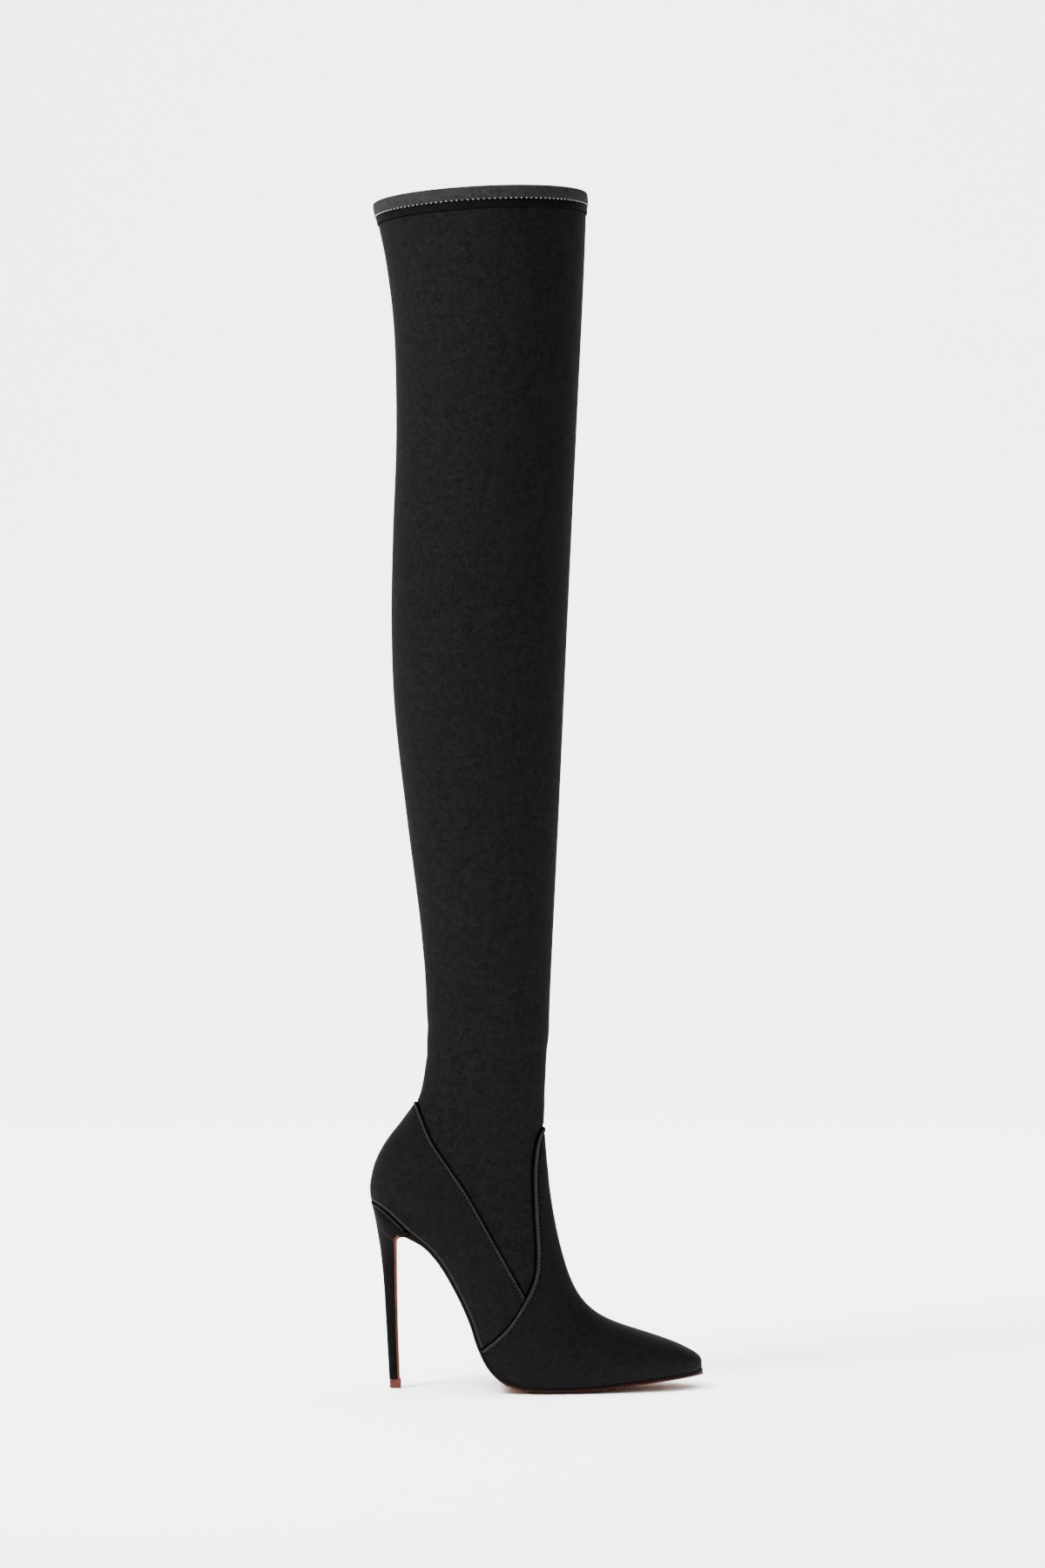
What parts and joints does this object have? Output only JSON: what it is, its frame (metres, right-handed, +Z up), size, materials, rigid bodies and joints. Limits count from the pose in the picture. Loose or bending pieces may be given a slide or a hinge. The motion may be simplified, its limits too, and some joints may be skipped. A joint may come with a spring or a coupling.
{
  "type": "thigh high boot",
  "caption": "Slim thigh high boot for the right foot, with a pointed toe, overlays at vamp and heel, a bound collar and a high thin heel.",
  "frame": {"origin": "on the floor, under the middle of the boot's length and width", "axes": "+Z up the shaft, +X towards the toe, +Y towards the inner side of the right foot"},
  "size_m": [0.2109, 0.1352, 0.7538],
  "materials": {
    "stretch_black": "matt, fine nap",
    "overlay_black": "matt, fine grain",
    "binding_black": "matt",
    "lining_black": "satin",
    "sole_tan": "satin",
    "heel_cover_black": "matt, fine grain",
    "tip_brown": "matt"
  },
  "bodies": {
    "root": {"upper": "stretch_black", "vamp": "overlay_black", "counter": "overlay_black", "top_band": "binding_black", "insole": "lining_black", "outsole": "sole_tan", "heel": "heel_cover_black", "heel_tip": "tip_brown"}
  },
  "joints": []
}
